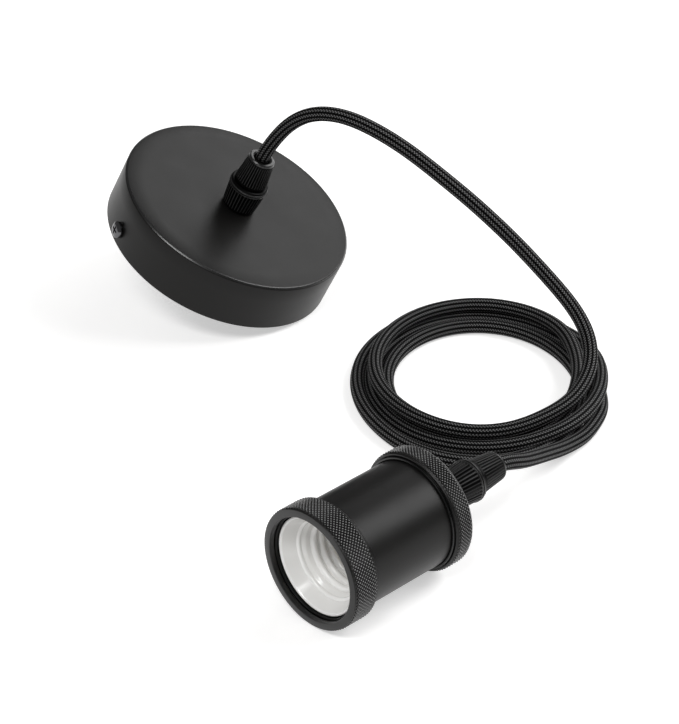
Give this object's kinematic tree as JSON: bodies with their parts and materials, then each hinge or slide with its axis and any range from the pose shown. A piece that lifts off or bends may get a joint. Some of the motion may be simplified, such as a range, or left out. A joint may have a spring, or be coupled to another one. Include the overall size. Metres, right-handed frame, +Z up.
{
  "type": "pendant cord set",
  "caption": "Ceiling canopy, braided cord and knurled tubular lamp holder with a white threaded socket, laid out with the cord coiled between them.",
  "frame": {"origin": "on the floor under the middle of the rigid pieces' bounding box; the cord is left out of that box", "axes": "+Z up; +Y along the lamp holder's axis from its socket mouth to its cord; +X from the canopy to the holder"},
  "size_m": [0.2686, 0.2117, 0.0952],
  "materials": {
    "black_paint": "satin black paint on steel",
    "knurled_black": "satin black paint over diamond knurling",
    "grip_black": "satin black, finely ribbed",
    "sleeve_rubber": "matt black rubber",
    "braid": "black braided textile over a rubber-sheathed cable",
    "steel": "bright zinc plate",
    "brass": "plain brass",
    "block_plastic": "off-white moulded plastic",
    "white_socket": "white glazed ceramic",
    "wire_brown": "brown insulation",
    "wire_blue": "blue insulation",
    "wire_green": "green and yellow insulation"
  },
  "bodies": {
    "root": {"canopy_cup": "black_paint", "holder_shell": "black_paint", "shade_ring": "knurled_black", "rear_cap": "knurled_black", "canopy_grip_body": "grip_black", "canopy_grip_cap": "grip_black", "holder_grip_body": "grip_black", "holder_grip_cap": "grip_black", "canopy_grip_sleeve": "sleeve_rubber", "holder_grip_sleeve": "sleeve_rubber", "canopy_cord_end": "braid", "holder_cord_end": "braid", "cord_arch": "braid", "cord_coil": "braid", "cord_lead": "braid", "ceiling_bracket": "steel", "side_screw_a": "steel", "side_screw_b": "steel", "canopy_lock_washer": "steel", "canopy_lock_nut": "steel", "terminal_block_screw": "steel", "terminal_screw_line_mains": "steel", "terminal_screw_line_cord": "steel", "terminal_screw_neutral_mains": "steel", "terminal_screw_neutral_cord": "steel", "canopy_earth_screw": "steel", "holder_terminal_screw_line": "steel", "holder_terminal_screw_neutral": "steel", "base_screw_a": "steel", "base_screw_b": "steel", "holder_earth_screw": "steel", "terminal_pole_line": "brass", "terminal_pole_neutral": "brass", "canopy_earth_lug": "brass", "holder_earth_lug": "brass", "centre_contact": "brass", "side_contact": "brass", "terminal_block": "block_plastic", "socket_insert": "white_socket", "contact_base": "white_socket", "canopy_wire_line": "wire_brown", "holder_wire_line": "wire_brown", "canopy_wire_neutral": "wire_blue", "holder_wire_neutral": "wire_blue", "canopy_wire_earth": "wire_green", "holder_wire_earth": "wire_green"}
  },
  "joints": []
}
